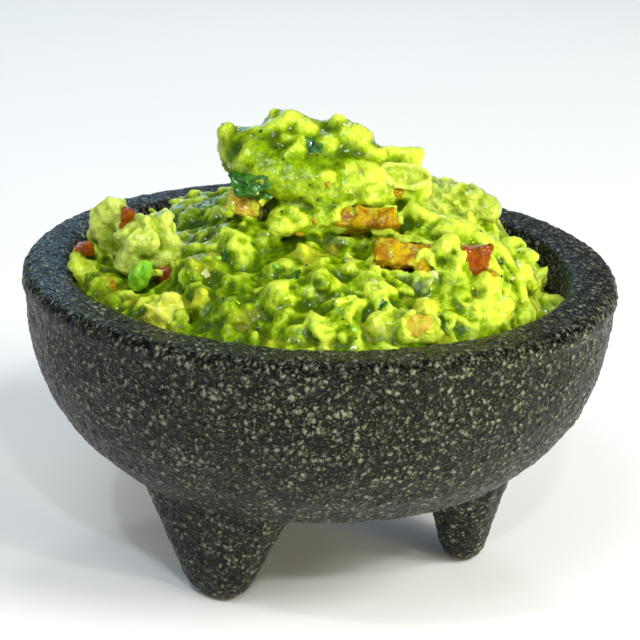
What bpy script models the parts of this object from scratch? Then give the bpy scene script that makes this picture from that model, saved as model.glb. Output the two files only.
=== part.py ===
"""Guacamole heaped in a three-legged molcajete bowl, modelled in metres with +Z up.

The origin is on the bowl's axis, on the surface that its three feet stand on. Two of the legs point
forward (-Y), to the left and right, and the third points back (+Y). The heap has a frame of its own:
its origin is the centre of the rim's mouth, and it is turned about the bowl's axis by HEAP_TURN.
"""

import math

import bmesh
import bpy
from mathutils import Euler, Matrix, Vector, noise

MM = 0.001

# Bowl: driving dimensions
RIM_RADIUS = 100 * MM
RIM_HEIGHT = 103.5 * MM
RIM_WIDTH = 16 * MM
LIP_ROUNDING = 4.5 * MM
MOUTH_ROUNDING = 1.5 * MM
LIP_OVERHANG = 1.3 * MM
SHELL_DEPTH = 76 * MM
FLOOR_THICKNESS = 15 * MM
OUTER_CURVE = (2.6, 2.4)
INNER_CURVE = (1.8, 2.0)
SEGMENTS = 56

# Legs
LEG_COUNT = 3
FIRST_LEG_AZIMUTH = math.radians(60)
LEG_CIRCLE_RADIUS = 53 * MM
LEG_TOP = 44 * MM
LEG_WIDTH_AT_FOOT, LEG_WIDTH_TAPER = 18.5 * MM, 1.0
LEG_DEPTH_AT_FOOT, LEG_DEPTH_TAPER = 13.5 * MM, 0.5
FOOT_ROUNDING = 5.5 * MM
LEG_SQUARENESS = 2.6
LEG_SIDES = 20

# Heap
HEAP_TURN = math.radians(-25)
GAP = 0.3 * MM
HEAP_VOXEL = 1.8 * MM
HEAP_DETAIL = 0.03
HEAP_HEADROOM = 80 * MM
MOUND_RINGS, MOUND_SECTORS = 18, 48
MOUND_RISE = 24 * MM
MOUND_EDGE = -6 * MM
MOUND_DROP = 9 * MM
ROUGHNESS, ROUGHNESS_SCALE = 2.2 * MM, 8 * MM
CRUMB_COUNT = 80
CRUMB_SIZE = (4 * MM, 7 * MM)
CRUMB_MARGIN = 11 * MM
GOLDEN_ANGLE = math.radians(137.5)

# Lumps of the heap, in mm in the heap's frame: centre, half sizes, and tilt in degrees about Y.
LUMPS = {
    "scoop_body": ((-1, -4, 31), (31, 20, 14), 8),
    "scoop_left_end": ((-26, -6, 38), (9, 9, 9), 20),
    "scoop_left_tip": ((-32, -5, 44.5), (4, 4, 3.5), 0),
    "scoop_left_peak": ((-11, -1, 44), (11, 9, 9), 0),
    "scoop_right_peak": ((5, -1, 42.5), (9, 8, 9), 25),
    "scoop_shoulder": ((18, -3, 33), (13, 12, 9), 22),
    "scoop_slice": ((27, -6, 28.5), (11, 9, 5), 12),
    "scoop_sliver": ((27, 0, 39.5), (8, 3, 2.4), -6),
    "under_scoop": ((6, 0, 13), (33, 27, 15), 0),
    "scoop_front": ((4, -14, 19), (18, 10, 8), 10),
    "right_shoulder": ((38, -20, 6), (25, 26, 14), 10),
    "right_front": ((44, -44, -3), (20, 18, 11), 0),
    "back_right_low": ((58, 30, -7), (11, 12, 9), 0),
    "back_right_root": ((44, 40, -4), (22, 20, 12), 0),
    "left_root": ((-62, -12, -6), (17, 22, 9), 0),
    "left_edge": ((-76, -17, -2.5), (9, 9, 6), 0),
    "back_left": ((-32, 32, 2), (20, 22, 9), 10),
    "middle_left": ((-26, -20, 10), (13, 13, 10), -10),
    "middle_fold": ((-36, -34, 5), (12, 9, 8), 15),
    "middle_front": ((-4, -38, 7), (14, 12, 9), 0),
    "front_fold": ((14, -46, 4), (12, 9, 8), -15),
    "front_left": ((-26, -54, -1), (13, 11, 8), 0),
    "front_middle": ((0, -66, -4), (14, 9, 7), 0),
    "front_right": ((28, -60, -3), (11, 10, 8), 0),
    "right_fold": ((60, -18, 2), (11, 14, 9), 0),
}

# Pieces as large as berries, in mm in the heap's frame: centre, full sizes, turns in degrees, form.
# They are listed in the order in which each gives way to those before it.
TOPPINGS = {
    "green_pepper": ((-57.8, -34, 4), (9, 6.5, 12), (12, 14, 0), "pod"),
    "tomato_1": ((49.5, -38, 14), (12, 8, 11), (-12, 0, 8), "wedge"),
    "tomato_2": ((26.8, -36, 14.6), (22, 9, 9), (-30, 9, 4), "dice"),
    "tomato_3": ((15.1, -23, 21.9), (21, 10, 8), (-38, -4, -4), "dice"),
    "tomato_4": ((-64.3, -12, 14.5), (6, 8, 10), (0, 14, 8), "dice"),
    "tomato_5": ((-49, -28, 3.6), (10, 7, 6), (-10, -12, 10), "dice"),
    "tomato_6": ((30.6, -65.5, 0.4), (12, 9, 9), (-40, 0, 10), "dice"),
    "tomato_7": ((-24.9, -16, 25), (12.5, 10, 11), (-20, 8, -12), "dice"),
    "tomato_8": ((-79, -13, 4.6), (7, 7, 5.5), (0, 12, -6), "wedge"),
    "avocado_1": ((-71, -5, 8), (14, 15, 29), (4, 6, 0), "chunk"),
    "avocado_2": ((-56, -18, 10), (22, 18, 19.5), (-10, -12, 12), "chunk"),
    "avocado_3": ((-47, -55, -1.5), (14, 12, 13), (-15, -8, 20), "chunk"),
    "avocado_4": ((46, 38, 9), (26, 22, 20), (8, 14, 10), "chunk"),
}

COLOURS = {
    "stone_black": ((0.018, 0.019, 0.021), 0.55),
    "avocado_mash": ((0.47, 0.62, 0.08), 0.35),
    "avocado_flesh": ((0.52, 0.66, 0.10), 0.30),
    "tomato_flesh": ((0.72, 0.20, 0.03), 0.25),
    "pepper_flesh": ((0.16, 0.55, 0.03), 0.18),
}


def material(name):
    """A Principled material with the named colour and roughness."""
    colour, roughness = COLOURS[name]
    made = bpy.data.materials.get(name) or bpy.data.materials.new(name)
    made.use_nodes = True
    shader = made.node_tree.nodes["Principled BSDF"]
    shader.inputs["Base Color"].default_value = (*colour, 1)
    shader.inputs["Roughness"].default_value = roughness
    made.diffuse_color = (*colour, 1)
    return made


def new_object(name, bm, colour=None, frame=None):
    """Turns bm into a linked object. Without a colour it is a guide that only cuts or joins."""
    bmesh.ops.recalc_face_normals(bm, faces=bm.faces)
    mesh = bpy.data.meshes.new(name)
    bm.to_mesh(mesh)
    bm.free()
    mesh.shade_smooth()
    mesh.set_sharp_from_angle(angle=math.radians(50))
    made = bpy.data.objects.new(name, mesh)
    bpy.context.scene.collection.objects.link(made)
    made.parent = frame
    if colour:
        mesh.materials.append(material(colour))
    else:
        made.hide_render = True
        made.display_type = "WIRE"
    return made


def add_boolean(target, tool, operation):
    """A Boolean modifier with Blender's exact solver."""
    modifier = target.modifiers.new(f"{operation}_{tool.name}", "BOOLEAN")
    modifier.operation = operation
    modifier.object = tool
    modifier.solver = "EXACT"


def turned(profile):
    """A closed solid spun about Z from (radius, height) points that start and end on the axis."""
    bm = bmesh.new()
    points = [bm.verts.new((radius, 0, height)) for radius, height in profile]
    edges = [bm.edges.new(pair) for pair in zip(points, points[1:])]
    bmesh.ops.spin(
        bm, geom=points + edges, cent=(0, 0, 0), axis=(0, 0, 1), angle=math.tau, steps=SEGMENTS
    )
    bmesh.ops.remove_doubles(bm, verts=bm.verts, dist=0.01 * MM)
    return bm


def bowl_curve(radius, depth, height, powers):
    """Radius of a bowl that is radius wide at its mouth, at height below it, out of depth."""
    across, along = powers
    return radius * (1 - (height / depth) ** across) ** (1 / along)


def arc(centre_r, centre_z, radius, start, end, steps):
    """Points on an arc in the profile's plane, from angle start to angle end in degrees."""
    angles = [math.radians(start + (end - start) * i / steps) for i in range(steps + 1)]
    return [(centre_r + radius * math.cos(a), centre_z + radius * math.sin(a)) for a in angles]


def outer_profile():
    """The bowl without its hollow: flat base, curved wall, rounded lip and flat rim top."""
    lip_centre = RIM_RADIUS - LIP_ROUNDING
    lip_bottom = RIM_HEIGHT - 1.6 * LIP_ROUNDING
    wall_radius = RIM_RADIUS - LIP_OVERHANG
    curve_depth = SHELL_DEPTH * 1.03
    wall_steps = 10
    wall = []
    for i in range(wall_steps):
        share = 1 - (1 - i / (wall_steps - 1)) ** 1.7
        height = SHELL_DEPTH + (RIM_HEIGHT - lip_bottom - SHELL_DEPTH) * share
        wall.append((bowl_curve(wall_radius, curve_depth, height - LIP_ROUNDING / 2, OUTER_CURVE),
                     RIM_HEIGHT - height))
    lip = arc(lip_centre, RIM_HEIGHT - LIP_ROUNDING, LIP_ROUNDING, -22, 90, 5)
    return [(0, wall[0][1]), *wall, *lip, (0, RIM_HEIGHT)]


def hollow_profile(clearance, headroom):
    """The bowl's hollow, shrunk by clearance, and continued straight up by headroom."""
    mouth = RIM_RADIUS - RIM_WIDTH - clearance
    depth = SHELL_DEPTH - FLOOR_THICKNESS - clearance
    wall_steps = 9
    heights = [depth * math.sin(math.pi / 2 * (1 - i / wall_steps)) for i in range(wall_steps)]
    wall = [(bowl_curve(mouth, depth, h, INNER_CURVE), RIM_HEIGHT - h) for h in heights[1:]]
    return [(0, RIM_HEIGHT - depth), *wall, (mouth, RIM_HEIGHT), (mouth, RIM_HEIGHT + headroom),
            (0, RIM_HEIGHT + headroom)]


def mouth_rounding_profile():
    """A shallow dish that rounds off the mouth's inner edge."""
    mouth = RIM_RADIUS - RIM_WIDTH
    centre = (mouth + MOUTH_ROUNDING, RIM_HEIGHT - MOUTH_ROUNDING)
    edge = arc(*centre, MOUTH_ROUNDING, 180, 90, 3)
    return [(0, edge[0][1]), *edge, (edge[-1][0], RIM_HEIGHT + MOUTH_ROUNDING),
            (0, RIM_HEIGHT + MOUTH_ROUNDING)]


def leg_form():
    """A tapered leg along Z with a rounded foot, wide along X and thinner along Y."""
    bm = bmesh.new()
    foot_heights = [FOOT_ROUNDING * (1 - math.cos(math.radians(a))) for a in (0, 32, 60, 90)]
    heights = foot_heights + [15 * MM, 29 * MM, LEG_TOP]
    rings = []
    for height in heights:
        rise = min(height / FOOT_ROUNDING, 1)
        tuck = FOOT_ROUNDING * (1 - math.sqrt(1 - (1 - rise) ** 2)) * 0.9
        half_width = (LEG_WIDTH_AT_FOOT + LEG_WIDTH_TAPER * height) / 2 - tuck
        half_depth = (LEG_DEPTH_AT_FOOT + LEG_DEPTH_TAPER * height) / 2 - tuck * 0.8
        ring = []
        for i in range(LEG_SIDES):
            angle = math.tau * i / LEG_SIDES
            x, y = math.cos(angle), math.sin(angle)
            grow = (abs(x) ** LEG_SQUARENESS + abs(y) ** LEG_SQUARENESS) ** (-1 / LEG_SQUARENESS)
            ring.append(bm.verts.new((half_width * x * grow, half_depth * y * grow, height)))
        rings.append(ring)
    for lower, upper in zip(rings, rings[1:]):
        for i in range(LEG_SIDES):
            j = (i + 1) % LEG_SIDES
            bm.faces.new((lower[i], lower[j], upper[j], upper[i]))
    bm.faces.new(list(reversed(rings[0])))
    bm.faces.new(rings[-1])
    return bm


def build_bowl():
    """The bowl and its legs are moulded in one piece, so they are one solid."""
    bowl = new_object("bowl", turned(outer_profile()), "stone_black")
    for i in range(LEG_COUNT):
        azimuth = FIRST_LEG_AZIMUTH + math.tau * i / LEG_COUNT
        leg = new_object(f"leg_form_{i + 1}", leg_form())
        leg.location = (LEG_CIRCLE_RADIUS * math.sin(azimuth),
                        -LEG_CIRCLE_RADIUS * math.cos(azimuth), 0)
        leg.rotation_euler.z = azimuth
        add_boolean(bowl, leg, "UNION")
    hollow = new_object("hollow_form", turned(hollow_profile(0, 10 * MM)))
    add_boolean(bowl, hollow, "DIFFERENCE")
    rounding = new_object("mouth_form", turned(mouth_rounding_profile()))
    add_boolean(bowl, rounding, "DIFFERENCE")
    return bowl


def mound_height(x, y):
    """Height of the heap's broad mound over the rim plane. It lies lower at the back right."""
    mouth = RIM_RADIUS - RIM_WIDTH
    drop = MOUND_DROP * max(0.0, x + y) / (mouth * math.sqrt(2))
    share = max(0.0, 1 - (x * x + y * y) / mouth**2)
    bump = ROUGHNESS * noise.noise(Vector((x, y, 0)) / ROUGHNESS_SCALE)
    return MOUND_EDGE - drop + MOUND_RISE * share**1.3 + bump


def add_mound(bm):
    """The mound's top surface with a deep skirt, which the bowl's hollow then cuts to size."""
    reach = RIM_RADIUS - RIM_WIDTH / 2
    bottom = -SHELL_DEPTH
    top_centre = bm.verts.new((0, 0, mound_height(0, 0)))
    bottom_centre = bm.verts.new((0, 0, bottom))
    rings = []
    for i in range(1, MOUND_RINGS + 1):
        radius = reach * i / MOUND_RINGS
        ring = []
        for j in range(MOUND_SECTORS):
            angle = math.tau * j / MOUND_SECTORS
            x, y = radius * math.cos(angle), radius * math.sin(angle)
            ring.append(bm.verts.new((x, y, mound_height(x, y))))
        rings.append(ring)
    rings.append([bm.verts.new((v.co.x, v.co.y, bottom)) for v in rings[-1]])
    for j in range(MOUND_SECTORS):
        k = (j + 1) % MOUND_SECTORS
        bm.faces.new((top_centre, rings[0][j], rings[0][k]))
        bm.faces.new((bottom_centre, rings[-1][k], rings[-1][j]))
        for inner, outer in zip(rings, rings[1:]):
            bm.faces.new((inner[j], outer[j], outer[k], inner[k]))


def add_lump(bm, centre, half_sizes, tilt, detail):
    """An uneven rounded lump. Its sizes are in metres."""
    place = Matrix.Translation(centre) @ Matrix.Rotation(math.radians(tilt), 4, "Y")
    made = bmesh.ops.create_icosphere(bm, subdivisions=detail, radius=1)
    for vertex in made["verts"]:
        outward = vertex.co.copy()
        vertex.co = place @ Vector([outward[i] * half_sizes[i] for i in range(3)])
        bump = noise.noise(vertex.co / ROUGHNESS_SCALE) * min(ROUGHNESS, min(half_sizes) / 3)
        vertex.co += outward * bump


def add_crumbs(bm):
    """Small lumps spread over the mound along a golden-angle spiral, clear of the toppings."""
    reach = RIM_RADIUS - RIM_WIDTH - CRUMB_MARGIN
    smallest, largest = CRUMB_SIZE
    for i in range(CRUMB_COUNT):
        radius = reach * math.sqrt((i + 0.5) / CRUMB_COUNT)
        x, y = radius * math.cos(GOLDEN_ANGLE * i), radius * math.sin(GOLDEN_ANGLE * i)
        centre = Vector((x, y, mound_height(x, y)))
        size = smallest + (largest - smallest) * (0.5 + 0.5 * math.sin(i * i))
        covers = any((Vector(c) * MM - centre).length < size + Vector(s).length * MM / 2
                     for c, s, _, _ in TOPPINGS.values())
        if not covers:
            add_lump(bm, centre, (size, size, size), 0, 2)


def build_heap(frame, cutters):
    """The mashed avocado: mound and lumps run together, filling the bowl below the rim."""
    bm = bmesh.new()
    add_mound(bm)
    add_crumbs(bm)
    for centre, half_sizes, tilt in LUMPS.values():
        add_lump(bm, Vector(centre) * MM, Vector(half_sizes) * MM, tilt, 4)
    heap = new_object("guacamole", bm, "avocado_mash", frame)
    remesh = heap.modifiers.new("run_together", "REMESH")
    remesh.mode = "VOXEL"
    remesh.voxel_size = HEAP_VOXEL
    decimate = heap.modifiers.new("coarsen", "DECIMATE")
    decimate.ratio = HEAP_DETAIL
    space = new_object("heap_space_form", turned(hollow_profile(GAP, HEAP_HEADROOM)))
    add_boolean(heap, space, "INTERSECT")
    for cutter in cutters:
        add_boolean(heap, cutter, "DIFFERENCE")
    return heap


def block(size, grow, bevel, taper=(1, 1)):
    """A bevelled block whose top face is narrowed by taper along X and Y."""
    bm = bmesh.new()
    bmesh.ops.create_cube(bm, size=1)
    for vertex in bm.verts:
        narrow = taper if vertex.co.z > 0 else (1, 1)
        for axis in range(2):
            vertex.co[axis] *= size[axis] * narrow[axis]
        vertex.co.z *= size[2]
        vertex.co += Vector([math.copysign(grow, c) for c in vertex.co])
    bmesh.ops.bevel(
        bm, geom=bm.edges[:], offset=bevel, offset_type="OFFSET", segments=2, profile=0.6,
        affect="EDGES", clamp_overlap=True,
    )
    return bm


def rounded(size, grow, squareness, unevenness):
    """A rounded, slightly angular lump: a sphere pushed towards a box, with shallow dents."""
    bm = bmesh.new()
    bmesh.ops.create_icosphere(bm, subdivisions=3, radius=1)
    seed = Vector(size)
    for vertex in bm.verts:
        direction = vertex.co.normalized()
        norm = sum(abs(c) ** squareness for c in direction) ** (1 / squareness)
        dent = 1 + unevenness * noise.noise(direction * 1.6 + seed)
        vertex.co = Vector([direction[i] / norm * (size[i] / 2 * dent + grow) for i in range(3)])
    return bm


def topping_form(form, size_mm, grow):
    """The closed form of a topping, grown by grow on every side."""
    size = Vector(size_mm) * MM
    if form == "wedge":
        return block((size.x * 0.5, size.y, size.z), grow, 0.9 * MM, taper=(2.0, 1))
    if form == "dice":
        return block(size, grow, 1.5 * MM, taper=(0.92, 0.88))
    if form == "pod":
        return rounded(size, grow, 2.4, 0.06)
    return rounded(size, grow, 2.7, 0.22)


def build_toppings(frame):
    """Tomato dice, green pepper and avocado chunks. Each is cut back from those before it."""
    colours = {"tomato": "tomato_flesh", "green": "pepper_flesh", "avocado": "avocado_flesh"}
    cutters = []
    for name, (centre, size, turns, form) in TOPPINGS.items():
        piece = new_object(name, topping_form(form, size, 0), colours[name.split("_")[0]], frame)
        cutter = new_object(f"{name}_form", topping_form(form, size, GAP), frame=frame)
        for placed in (piece, cutter):
            placed.location = Vector(centre) * MM
            placed.rotation_euler = Euler([math.radians(t) for t in turns])
        reach = Vector(size).length / 2
        for earlier, earlier_centre, earlier_reach in cutters:
            if (Vector(centre) - Vector(earlier_centre)).length < reach + earlier_reach:
                add_boolean(piece, earlier, "DIFFERENCE")
        cutters.append((cutter, centre, reach))
    return [cutter for cutter, _, _ in cutters]


def main():
    for old in list(bpy.data.objects):
        bpy.data.objects.remove(old)
    build_bowl()
    frame = bpy.data.objects.new("heap_frame", None)
    bpy.context.scene.collection.objects.link(frame)
    frame.location.z = RIM_HEIGHT
    frame.rotation_euler.z = HEAP_TURN
    build_heap(frame, build_toppings(frame))


main()
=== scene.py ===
"""Looks of a molcajete bowl heaped with chunky guacamole.

Lengths are in metres. The heap has a frame of its own, in which its pieces are placed in mm: the
origin is the centre of the rim's mouth, and +Y points away from the camera.
"""

import math

import bmesh
import bpy
import numpy as np
from mathutils import Euler, Matrix, Vector, bvhtree, kdtree, noise


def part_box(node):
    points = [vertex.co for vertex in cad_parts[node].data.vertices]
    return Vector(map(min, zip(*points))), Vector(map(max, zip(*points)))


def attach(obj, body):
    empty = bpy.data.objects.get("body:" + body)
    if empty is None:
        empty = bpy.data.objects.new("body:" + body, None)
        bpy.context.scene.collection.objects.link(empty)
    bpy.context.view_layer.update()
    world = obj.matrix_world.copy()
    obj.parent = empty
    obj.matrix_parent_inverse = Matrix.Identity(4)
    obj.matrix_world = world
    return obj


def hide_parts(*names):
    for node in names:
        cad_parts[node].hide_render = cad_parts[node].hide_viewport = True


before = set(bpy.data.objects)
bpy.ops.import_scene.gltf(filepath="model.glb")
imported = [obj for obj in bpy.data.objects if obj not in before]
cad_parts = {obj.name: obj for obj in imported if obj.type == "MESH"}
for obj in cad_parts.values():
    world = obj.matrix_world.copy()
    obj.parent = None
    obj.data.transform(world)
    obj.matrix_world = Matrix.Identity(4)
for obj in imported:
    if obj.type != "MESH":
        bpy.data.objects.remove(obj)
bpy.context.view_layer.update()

MM = 0.001

# Sizes taken from the frame, and the bowl's other sizes
BOWL_LOW, BOWL_HIGH = (Vector(corner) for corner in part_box("bowl"))
RIM_TOP = BOWL_HIGH.z
RIM_RADIUS = (BOWL_HIGH.x - BOWL_LOW.x) / 2
RIM_WIDTH = 16 * MM
HOLLOW_DEPTH = 61 * MM
HOLLOW_CURVE = 1.8
LEGS_TOP = 27 * MM
CAD_SEGMENTS = 56

# The heap's frame, and the height above the rim, in mm, where its smooth scoop begins
HEAP_TURN = math.radians(-25)
HEAP = Matrix.Translation((0, 0, RIM_TOP)) @ Matrix.Rotation(HEAP_TURN, 4, "Z")
HEAP_INVERSE = HEAP.inverted()
SCOOP_FOOT = 24

# Camera
CAMERA_DISTANCE = 807.7 * MM
CAMERA_ELEVATION = math.radians(18.19)
CAMERA_ROLL = math.radians(2.08)
CAMERA_AIM_DROP = 21 * MM
CAMERA_AIM_RIGHT = 0.4 * MM
CAMERA_LENS = 135

# Detail: the grids that forms are skinned on, how far the heap goes down below the rim, how far
#  its CAD form is sunk, in mm, and how far a point stands out to count as a full crest, where the
#  avocado's painted highlight is strongest
BOWL_VOXEL = 1.3 * MM
HEAP_VOXEL = 0.9 * MM
PIECE_VOXEL = 0.5 * MM
HEAP_DEPTH = 22 * MM
CORE_SINK = 0.9
CREST_REACH = 1.5 * MM
SEED = 7

# Strength of the even light all round, and of its reflection in glossy surfaces
WORLD_LIGHT = 0.38
WORLD_IN_GLOSS = 0.10


# ---------------------------------------------------------------- node helpers

def new_material(name):
    """A material with its Principled shader and a function that adds nodes to it."""
    made = bpy.data.materials.new(name)
    made.use_nodes = True
    tree = made.node_tree
    shader = tree.nodes["Principled BSDF"]

    def add(kind, settings=None, **inputs):
        """Adds a node. A value that is a socket is linked; any other is set."""
        node = tree.nodes.new(kind)
        for key, value in (settings or {}).items():
            setattr(node, key, value)
        for key, value in inputs.items():
            socket = node.inputs[int(key[1:]) if key[0] == "i" and key[1:].isdigit() else key]
            if isinstance(value, bpy.types.NodeSocket):
                tree.links.new(value, socket)
            else:
                socket.default_value = value
        return node

    return made, shader, add


def wire(shader, socket, value):
    """Links a node's result to one of the shader's sockets."""
    shader.id_data.links.new(value, shader.inputs[socket])


def bump(shader, add, height, strength, distance, socket="Normal"):
    """Bumps on the shader's surface, or on its coat."""
    node = add("ShaderNodeBump", Height=height, Strength=strength, Distance=distance)
    wire(shader, socket, node.outputs["Normal"])


def set_values(shader, **values):
    """Sets constant values on the shader's own sockets."""
    for key, value in values.items():
        shader.inputs[key.replace("_", " ")].default_value = value


def ramp(add, factor, *stops):
    """A colour ramp through (position, colour) stops."""
    node = add("ShaderNodeValToRGB", Fac=factor)
    elements = node.color_ramp.elements
    while len(elements) < len(stops):
        elements.new(0.5)
    for element, (position, colour) in zip(elements, stops):
        element.position = position
        element.color = (*colour, 1)
    return node.outputs["Color"]


def noise_texture(add, vector, scale, detail=2.0, roughness=0.5, distortion=0.0):
    """Noise over the object's own coordinates, from 0 to 1."""
    node = add("ShaderNodeTexNoise", Vector=vector, Scale=scale, Detail=detail,
               Roughness=roughness, Distortion=distortion)
    return node.outputs["Fac"]


def mixed(add, factor, first, second):
    """A mix of two colours."""
    node = add("ShaderNodeMix", {"data_type": "RGBA"})
    tree = node.id_data
    for socket, value in ((node.inputs[0], factor), (node.inputs[6], first), (node.inputs[7], second)):
        if isinstance(value, bpy.types.NodeSocket):
            tree.links.new(value, socket)
        elif isinstance(value, tuple):
            socket.default_value = (*value, 1)
        else:
            socket.default_value = value
    return node.outputs[2]


def math_node(add, operation, first, second=0.0, clamp=False):
    """A Math node's result."""
    node = add("ShaderNodeMath", {"operation": operation, "use_clamp": clamp}, i0=first, i1=second)
    return node.outputs[0]


def grey(value):
    """A grey for a ramp whose result is a plain number."""
    return value, value, value


def coordinates(add):
    """The mesh's own coordinates. The objects sit at the origin, so these are metres."""
    return add("ShaderNodeTexCoord").outputs["Object"]


# ---------------------------------------------------------------- materials

def stone_look():
    """Black moulded plastic with a stone-like stipple: grains of two sizes, each paler or darker than
    its neighbours, with painted highlights on their crests over painted shade in the hollows."""
    made, shader, add = new_material("stippled_black")
    place = coordinates(add)
    warp = add("ShaderNodeTexNoise", Vector=place, Scale=420, Detail=2.0).outputs["Color"]
    shift = add("ShaderNodeVectorMath", {"operation": "SCALE"}, i0=warp, Scale=0.0028).outputs[0]
    warped = add("ShaderNodeVectorMath", {"operation": "ADD"}, i0=place, i1=shift).outputs[0]
    fine = noise_texture(add, place, 1500, 2, 0.6)
    patches = noise_texture(add, place, 60, 3, 0.55)
    grains = []
    for scale in (470, 900):
        cells = add("ShaderNodeTexVoronoi", {"feature": "F1"}, Vector=warped, Scale=scale)
        grain_strength = add("ShaderNodeSeparateColor", Color=cells.outputs["Color"]).outputs["Red"]
        crest = add("ShaderNodeMapRange", {"interpolation_type": "SMOOTHSTEP"},
                    Value=cells.outputs["Distance"], i1=0.72, i2=0.12).outputs["Result"]
        grain_strength = math_node(add, "ADD", math_node(add, "MULTIPLY", grain_strength, 0.8), 0.2)
        grains.append(math_node(add, "MULTIPLY", crest, grain_strength))
    crest = math_node(add, "MAXIMUM", grains[0], math_node(add, "MULTIPLY", grains[1], 0.8))
    patch_strength = math_node(add, "ADD", patches, 0.5)
    # Painted highlights and shade: the grains' pale crests stand in for glints on the stipple's bumps,
    # and the ramp's near-black low end is painted shade in the hollows between grains.
    pale = math_node(add, "MULTIPLY", crest, patch_strength)
    pale = math_node(add, "ADD", pale, math_node(add, "MULTIPLY", fine, 0.10))
    colour = ramp(add, pale, (0.15, (0.0005, 0.0006, 0.0003)), (0.30, (0.014, 0.016, 0.010)),
                  (0.50, (0.052, 0.056, 0.037)), (0.88, (0.18, 0.19, 0.14)))
    wire(shader, "Base Color", colour)
    roughness = ramp(add, fine, (0.35, grey(0.20)), (0.7, grey(0.34)))
    wire(shader, "Roughness", roughness)
    height = math_node(add, "ADD", math_node(add, "MULTIPLY", crest, patch_strength),
                       math_node(add, "MULTIPLY", fine, 0.15))
    bump(shader, add, height, 1.0, 1.3 * MM)
    set_values(shader, Specular_IOR_Level=0.2)
    return made


def avocado_look(name, deep, middle, pale, yellow):
    """Wet avocado. The tint attribute holds paleness, browning, yellowness and, as alpha, how far
    a point stands out of its surroundings, which paints highlights on crests and shade in hollows:
    crests are pale, and hollows deep green down to a painted shadow colour."""
    made, shader, add = new_material(name)
    place = coordinates(add)
    tint = add("ShaderNodeAttribute", {"attribute_name": "tint"})
    parts = add("ShaderNodeSeparateColor", Color=tint.outputs["Color"])
    blotch = noise_texture(add, place, 170, 4, 0.6, 0.4)
    fleck = noise_texture(add, place, 620, 3, 0.6)
    paleness = math_node(add, "MULTIPLY", parts.outputs["Red"], 0.55)
    # Painted light: the crest measure makes crests paler as painted highlight and hollows darker as
    # painted shade.
    paleness = math_node(add, "ADD", paleness, math_node(add, "MULTIPLY", tint.outputs["Alpha"], 0.75))
    for layer, weight in ((blotch, 0.75), (fleck, 0.35)):
        centred = math_node(add, "SUBTRACT", layer, 0.5)
        paleness = math_node(add, "ADD", paleness, math_node(add, "MULTIPLY", centred, weight))
    paleness = math_node(add, "SUBTRACT", paleness, 0.17, clamp=True)
    shadow = tuple(0.65 * value for value in deep)
    colour = ramp(add, paleness, (0.06, shadow), (0.26, deep), (0.52, middle), (0.86, pale))
    colour = mixed(add, parts.outputs["Blue"], colour, yellow)
    brown = math_node(add, "MULTIPLY", parts.outputs["Green"], blotch)
    colour = mixed(add, brown, colour, (0.20, 0.10, 0.02))
    wire(shader, "Base Color", colour)
    wet = noise_texture(add, place, 330, 3, 0.6)
    roughness = ramp(add, wet, (0.35, grey(0.14)), (0.65, grey(0.32)))
    wire(shader, "Roughness", roughness)
    pulp = noise_texture(add, place, 420, 4, 0.62)
    grit = noise_texture(add, place, 1300, 2, 0.6)
    height = math_node(add, "ADD", pulp, math_node(add, "MULTIPLY", grit, 0.25))
    bump(shader, add, height, 0.85, 1.3 * MM)
    bump(shader, add, noise_texture(add, place, 360, 2, 0.5), 0.8, 1.0 * MM, "Coat Normal")
    set_values(shader, Subsurface_Weight=0.2, Subsurface_Radius=(1.0, 0.9, 0.15),
               Subsurface_Scale=0.0012, Specular_IOR_Level=0.05, Coat_Weight=0.75,
               Coat_Roughness=0.05, IOR=1.4)
    return made


def tomato_look(name, flesh, gel, film):
    """Wet tomato: flesh, clearer gel, glints, and a thin film of guacamole in places."""
    made, shader, add = new_material(name)
    place = coordinates(add)
    cells = noise_texture(add, place, 260, 3, 0.6, 0.8)
    smear = noise_texture(add, place, 230, 4, 0.65)
    colour = ramp(add, cells, (0.38, flesh), (0.62, gel))
    mask = ramp(add, smear, (0.60 - film, grey(0)), (0.70 - film, grey(1)))
    colour = mixed(add, mask, colour, (0.36, 0.45, 0.02))
    wire(shader, "Base Color", colour)
    bump(shader, add, noise_texture(add, place, 420, 3, 0.55), 0.9, 1.2 * MM)
    set_values(shader, Roughness=0.3, Subsurface_Weight=0.3, Subsurface_Radius=(1.0, 0.35, 0.1),
               Subsurface_Scale=0.002, Specular_IOR_Level=0.1, Coat_Weight=0.6,
               Coat_Roughness=0.05, IOR=1.36)
    return made


def leafy_look(name, dark, light, scale=260):
    """Glossy green plant skin with lighter veins."""
    made, shader, add = new_material(name)
    place = coordinates(add)
    veins = noise_texture(add, place, scale, 3, 0.55, 1.2)
    colour = ramp(add, veins, (0.35, dark), (0.65, light))
    wire(shader, "Base Color", colour)
    bump(shader, add, noise_texture(add, place, 600, 2, 0.5), 0.5, 0.7 * MM)
    set_values(shader, Roughness=0.2, Coat_Weight=0.8, Coat_Roughness=0.06,
               Subsurface_Weight=0.2, Subsurface_Radius=(0.3, 1.0, 0.1), Subsurface_Scale=0.002)
    return made


def onion_look():
    """Translucent diced onion."""
    made, shader, add = new_material("onion_flesh")
    place = coordinates(add)
    layers = noise_texture(add, place, 300, 2, 0.5, 0.6)
    colour = ramp(add, layers, (0.35, (0.34, 0.42, 0.10)), (0.65, (0.60, 0.64, 0.26)))
    wire(shader, "Base Color", colour)
    bump(shader, add, noise_texture(add, place, 700, 2, 0.5), 0.4, 0.6 * MM)
    set_values(shader, Roughness=0.18, Coat_Weight=0.8, Coat_Roughness=0.08,
               Subsurface_Weight=0.5, Subsurface_Radius=(1.0, 1.0, 0.5), Subsurface_Scale=0.004)
    return made


def speck_look():
    """Cracked black pepper."""
    made, shader, add = new_material("cracked_pepper")
    shade = noise_texture(add, coordinates(add), 1500, 2, 0.5)
    colour = ramp(add, shade, (0.4, (0.010, 0.009, 0.005)), (0.7, (0.05, 0.04, 0.02)))
    wire(shader, "Base Color", colour)
    set_values(shader, Roughness=0.5)
    return made


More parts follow.
